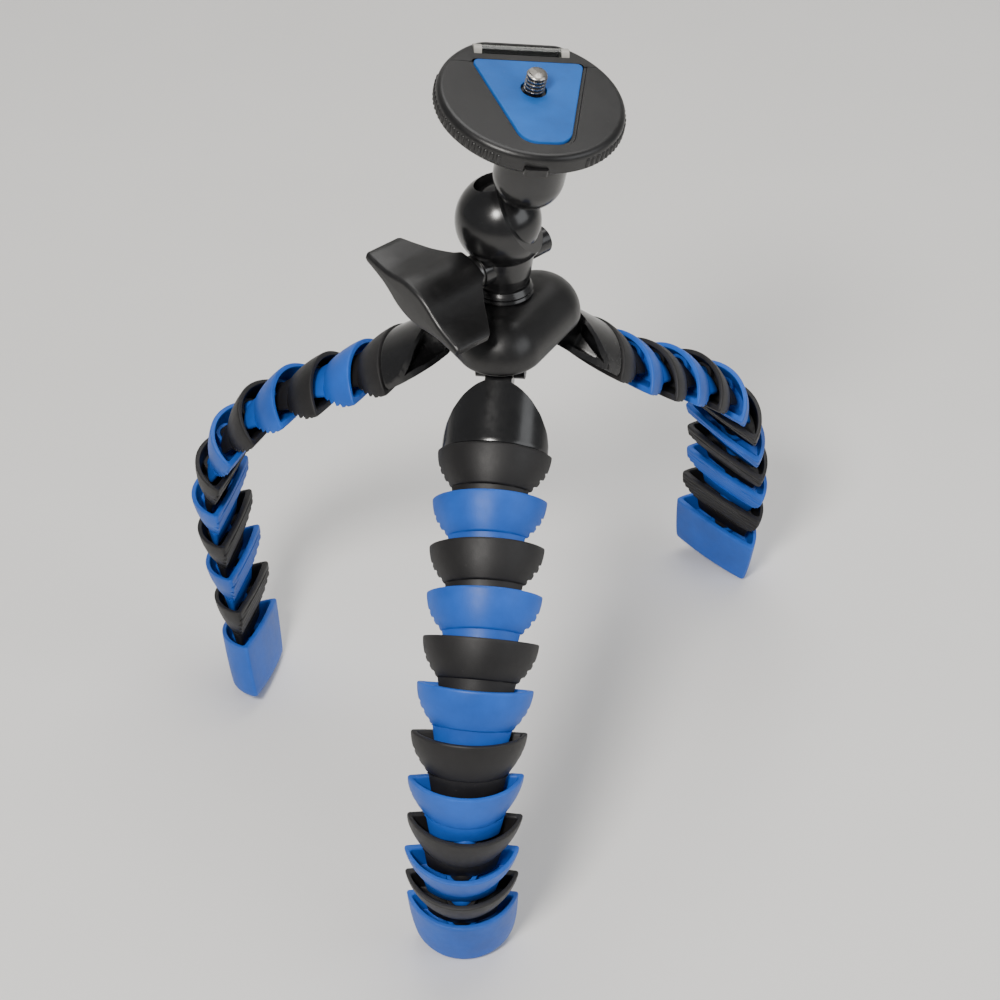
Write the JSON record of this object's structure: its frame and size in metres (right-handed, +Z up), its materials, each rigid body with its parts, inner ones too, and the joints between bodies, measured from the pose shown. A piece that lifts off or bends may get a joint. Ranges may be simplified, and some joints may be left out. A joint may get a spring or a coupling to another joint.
{
  "type": "flexible leg tripod",
  "caption": "Small table tripod with bendable legs of nested rubber cups, a ball head with a wing knob, and a round platform with slide-out plate, level and camera screw.",
  "frame": {"origin": "on the ground, under the middle of the whole object", "axes": "+Z up, the front leg reaches toward -Y, +X to the right seen from the front"},
  "size_m": [0.2034, 0.2316, 0.2664],
  "materials": {
    "satin_black": "satin moulded",
    "gloss_black": "gloss moulded",
    "rubber_black": "soft touch",
    "rubber_blue": "soft touch",
    "pad_blue": "fine matt",
    "steel": "machined",
    "clear": "clear moulded",
    "cap_white": "matt"
  },
  "bodies": {
    "hub": {"hub_dome": "satin_black", "hub_base": "satin_black", "hinge_pins": "steel", "hub_screws": "steel", "collar_ring": "gloss_black"},
    "neck": {"neck_housing": "gloss_black", "neck_screw": "steel", "clamp_nut": "steel"},
    "knob": {"wing_knob": "satin_black", "clamp_bolt": "steel", "clamp_washer": "steel"},
    "ball": {"ball_stem": "gloss_black"},
    "platform": {"platform_disc": "satin_black"},
    "plate": {"quick_release_plate": "satin_black", "plate_pad": "pad_blue", "vial_tube": "clear", "vial_caps": "cap_white"},
    "screw": {"camera_screw": "steel"},
    "button": {"release_button": "satin_black", "release_spring": "steel"},
    "front_root": {"front_knuckle": "gloss_black", "front_cup_01": "rubber_black"},
    "front_link_02": {"front_cup_02": "rubber_blue"},
    "front_link_03": {"front_cup_03": "rubber_black"},
    "front_link_04": {"front_cup_04": "rubber_blue"},
    "front_link_05": {"front_cup_05": "rubber_black"},
    "front_link_06": {"front_cup_06": "rubber_blue"},
    "front_link_07": {"front_cup_07": "rubber_black"},
    "front_link_08": {"front_cup_08": "rubber_blue"},
    "front_link_09": {"front_cup_09": "rubber_black"},
    "front_link_10": {"front_cup_10": "rubber_blue"},
    "front_link_11": {"front_cup_11": "rubber_black"},
    "front_foot": {"front_foot": "rubber_blue"},
    "right_root": {"right_knuckle": "gloss_black", "right_cup_01": "rubber_black"},
    "right_link_02": {"right_cup_02": "rubber_blue"},
    "right_link_03": {"right_cup_03": "rubber_black"},
    "right_link_04": {"right_cup_04": "rubber_blue"},
    "right_link_05": {"right_cup_05": "rubber_black"},
    "right_link_06": {"right_cup_06": "rubber_blue"},
    "right_link_07": {"right_cup_07": "rubber_black"},
    "right_link_08": {"right_cup_08": "rubber_blue"},
    "right_link_09": {"right_cup_09": "rubber_black"},
    "right_link_10": {"right_cup_10": "rubber_blue"},
    "right_link_11": {"right_cup_11": "rubber_black"},
    "right_foot": {"right_foot": "rubber_blue"},
    "left_root": {"left_knuckle": "gloss_black", "left_cup_01": "rubber_black"},
    "left_link_02": {"left_cup_02": "rubber_blue"},
    "left_link_03": {"left_cup_03": "rubber_black"},
    "left_link_04": {"left_cup_04": "rubber_blue"},
    "left_link_05": {"left_cup_05": "rubber_black"},
    "left_link_06": {"left_cup_06": "rubber_blue"},
    "left_link_07": {"left_cup_07": "rubber_black"},
    "left_link_08": {"left_cup_08": "rubber_blue"},
    "left_link_09": {"left_cup_09": "rubber_black"},
    "left_link_10": {"left_cup_10": "rubber_blue"},
    "left_link_11": {"left_cup_11": "rubber_black"},
    "left_foot": {"left_foot": "rubber_blue"}
  },
  "joints": [
    {"name": "neck_pan", "type": "hinge", "parent": "hub", "child": "neck", "pos_m": [0.0057, 0.0044, 0.19], "axis": [0, 0, 1], "continuous": true},
    {"name": "knob_turn", "type": "hinge", "parent": "neck", "child": "knob", "pos_m": [-0.00916, -0.00898, 0.1985], "axis": [-0.7431, -0.6691, 0], "continuous": true},
    {"name": "ball_tilt", "type": "hinge", "parent": "neck", "child": "ball", "pos_m": [0.0057, 0.0044, 0.2124], "axis": [0.0918, 0.9859, 0.1398], "range_deg": [0, 70]},
    {"name": "head_turn", "type": "hinge", "parent": "ball", "child": "platform", "pos_m": [0.01341, -0.00195, 0.25216], "axis": [0.188, -0.155, 0.9699], "continuous": true},
    {"name": "plate_slide", "type": "slide", "parent": "platform", "child": "plate", "axis": [-0.1385, 0.9734, 0.1824], "range_m": [0, 0.045]},
    {"name": "screw_turn", "type": "hinge", "parent": "plate", "child": "screw", "pos_m": [0.01524, -0.00036, 0.25928], "axis": [0.188, -0.155, 0.9699], "continuous": true},
    {"name": "button_press", "type": "slide", "parent": "platform", "child": "button", "axis": [-0.1385, 0.9734, 0.1824], "range_m": [0, 0.0018], "stiffness_N_per_m": 300},
    {"name": "front_hinge", "type": "hinge", "parent": "hub", "child": "front_root", "pos_m": [0.00471, -0.01146, 0.17], "axis": [-0.9914, 0.1305, 0], "range_deg": [-24, 3]},
    {"name": "front_sway_02", "type": "hinge", "parent": "front_root", "child": "front_link_02", "pos_m": [-0.00015, -0.04841, 0.14136], "axis": [-0.0792, -0.6014, 0.795], "range_deg": [-17.5, 13.5]},
    {"name": "front_curl_03", "type": "hinge", "parent": "front_link_02", "child": "front_link_03", "pos_m": [-0.00119, -0.0603, 0.13227], "axis": [0.9949, -0.0975, 0.0255], "range_deg": [-18.5, 20]},
    {"name": "front_sway_04", "type": "hinge", "parent": "front_link_03", "child": "front_link_04", "pos_m": [-0.0021, -0.07205, 0.12299], "axis": [0.0729, 0.6323, -0.7713], "range_deg": [-16, 14]},
    {"name": "front_curl_05", "type": "hinge", "parent": "front_link_04", "child": "front_link_05", "pos_m": [-0.00322, -0.08357, 0.11345], "axis": [-0.9942, 0.095, 0.0502], "range_deg": [-10.5, 20]},
    {"name": "front_sway_06", "type": "hinge", "parent": "front_link_05", "child": "front_link_06", "pos_m": [-0.00475, -0.09379, 0.10258], "axis": [0.0191, -0.8396, 0.5429], "range_deg": [-5.5, 12]},
    {"name": "front_curl_07", "type": "hinge", "parent": "front_link_06", "child": "front_link_07", "pos_m": [-0.00632, -0.10192, 0.09007], "axis": [0.9945, 0.0421, -0.0963], "range_deg": [-20, 5.5]},
    {"name": "front_sway_08", "type": "hinge", "parent": "front_link_07", "child": "front_link_08", "pos_m": [-0.00744, -0.10731, 0.07612], "axis": [-0.0794, 0.9901, -0.1155], "range_deg": [-4, 6]},
    {"name": "front_curl_09", "type": "hinge", "parent": "front_link_08", "child": "front_link_09", "pos_m": [-0.00836, -0.10912, 0.06126], "axis": [-0.996, -0.0392, 0.0798], "range_deg": [-8.5, 20]},
    {"name": "front_sway_10", "type": "hinge", "parent": "front_link_09", "child": "front_link_10", "pos_m": [-0.0096, -0.10791, 0.04636], "axis": [-0.0072, -0.9606, -0.2777], "range_deg": [-14, 2]},
    {"name": "front_curl_11", "type": "hinge", "parent": "front_link_10", "child": "front_link_11", "pos_m": [-0.00997, -0.10375, 0.03195], "axis": [0.9993, -0.0359, -0.0122], "range_deg": [-20, 17]},
    {"name": "front_sway_12", "type": "hinge", "parent": "front_link_11", "child": "front_foot", "pos_m": [-0.00997, -0.09893, 0.01775], "axis": [0.0378, 0.9656, 0.2573], "range_deg": [-14, 15.5]},
    {"name": "right_hinge", "type": "hinge", "parent": "hub", "child": "right_root", "pos_m": [0.01916, 0.01456, 0.17], "axis": [-0.6347, 0.7727, 0], "range_deg": [-4, 24]},
    {"name": "right_sway_02", "type": "hinge", "parent": "right_root", "child": "right_link_02", "pos_m": [0.04689, 0.03733, 0.13964], "axis": [-0.4491, -0.3914, -0.8032], "range_deg": [-9.5, 20]},
    {"name": "right_curl_03", "type": "hinge", "parent": "right_link_02", "child": "right_link_03", "pos_m": [0.05536, 0.04591, 0.13072], "axis": [0.7137, -0.7002, -0.0202], "range_deg": [-20, 14.5]},
    {"name": "right_sway_04", "type": "hinge", "parent": "right_link_03", "child": "right_link_04", "pos_m": [0.06394, 0.0549, 0.12232], "axis": [0.4405, 0.4035, 0.802], "range_deg": [-12.5, 17]},
    {"name": "right_curl_05", "type": "hinge", "parent": "right_link_04", "child": "right_link_05", "pos_m": [0.07264, 0.06321, 0.11336], "axis": [-0.6633, 0.7481, 0.0204], "range_deg": [-20, 13.5]},
    {"name": "right_sway_06", "type": "hinge", "parent": "right_link_05", "child": "right_link_06", "pos_m": [0.08063, 0.07057, 0.10302], "axis": [-0.6391, -0.5353, -0.5523], "range_deg": [0, 11]},
    {"name": "right_curl_07", "type": "hinge", "parent": "right_link_06", "child": "right_link_07", "pos_m": [0.08582, 0.07719, 0.0906], "axis": [0.701, -0.6865, -0.1933], "range_deg": [-2, 20]},
    {"name": "right_sway_08", "type": "hinge", "parent": "right_link_07", "child": "right_link_08", "pos_m": [0.08803, 0.08326, 0.07706], "axis": [0.7188, 0.604, 0.3441], "range_deg": [-17, 12.5]},
    {"name": "right_curl_09", "type": "hinge", "parent": "right_link_08", "child": "right_link_09", "pos_m": [0.08939, 0.0894, 0.06344], "axis": [-0.7238, 0.6513, 0.2278], "range_deg": [-20, 13.5]},
    {"name": "right_sway_10", "type": "hinge", "parent": "right_link_09", "child": "right_link_10", "pos_m": [0.08979, 0.09474, 0.04943], "axis": [-0.6689, -0.7223, -0.1753], "range_deg": [-13, 13.5]},
    {"name": "right_curl_11", "type": "hinge", "parent": "right_link_10", "child": "right_link_11", "pos_m": [0.08899, 0.09896, 0.03506], "axis": [0.7635, -0.612, -0.2062], "range_deg": [-15.5, 20]},
    {"name": "right_sway_12", "type": "hinge", "parent": "right_link_11", "child": "right_foot", "pos_m": [0.08769, 0.10226, 0.02048], "axis": [0.655, 0.734, 0.1793], "range_deg": [-14, 15.5]},
    {"name": "left_hinge", "type": "hinge", "parent": "hub", "child": "left_root", "pos_m": [-0.00778, 0.01098, 0.17], "axis": [0.4115, 0.9114, 0], "range_deg": [-24, 1]},
    {"name": "left_sway_02", "type": "hinge", "parent": "left_root", "child": "left_link_02", "pos_m": [-0.04324, 0.02699, 0.14362], "axis": [-0.429, 0.2679, 0.8627], "range_deg": [-18, 10.5]},
    {"name": "left_curl_03", "type": "hinge", "parent": "left_link_02", "child": "left_link_03", "pos_m": [-0.0557, 0.03087, 0.13622], "axis": [-0.3613, -0.9248, 0.1196], "range_deg": [-19.5, 19]},
    {"name": "left_sway_04", "type": "hinge", "parent": "left_link_03", "child": "left_link_04", "pos_m": [-0.06791, 0.03463, 0.12837], "axis": [0.5891, -0.29, -0.7543], "range_deg": [-14.5, 4.5]},
    {"name": "left_curl_05", "type": "hinge", "parent": "left_link_04", "child": "left_link_05", "pos_m": [-0.07868, 0.03825, 0.11858], "axis": [0.344, 0.9389, -0.0078], "range_deg": [-5, 20]},
    {"name": "left_sway_06", "type": "hinge", "parent": "left_link_05", "child": "left_link_06", "pos_m": [-0.08727, 0.04129, 0.10666], "axis": [-0.8698, 0.296, 0.3948], "range_deg": [-1.5, 8.5]},
    {"name": "left_curl_07", "type": "hinge", "parent": "left_link_06", "child": "left_link_07", "pos_m": [-0.09261, 0.04397, 0.0929], "axis": [-0.3012, -0.9518, -0.0584], "range_deg": [-20, 5]},
    {"name": "left_sway_08", "type": "hinge", "parent": "left_link_07", "child": "left_link_08", "pos_m": [-0.09457, 0.0455, 0.07811], "axis": [0.9689, -0.2392, 0.0637], "range_deg": [-9, 7]},
    {"name": "left_curl_09", "type": "hinge", "parent": "left_link_08", "child": "left_link_09", "pos_m": [-0.09355, 0.04563, 0.06315], "axis": [0.2063, 0.9785, -0.0094], "range_deg": [-16.5, 20]},
    {"name": "left_sway_10", "type": "hinge", "parent": "left_link_09", "child": "left_link_10", "pos_m": [-0.09176, 0.04511, 0.04826], "axis": [-0.9677, 0.2025, -0.1501], "range_deg": [-17.5, 12.5]},
    {"name": "left_curl_11", "type": "hinge", "parent": "left_link_10", "child": "left_link_11", "pos_m": [-0.08972, 0.04387, 0.03345], "axis": [-0.2134, -0.9703, 0.1138], "range_deg": [-17, 18.5]},
    {"name": "left_sway_12", "type": "hinge", "parent": "left_link_11", "child": "left_foot", "pos_m": [-0.08791, 0.04174, 0.01872], "axis": [0.9688, -0.2125, 0.1273], "range_deg": [-14, 17]}
  ]
}
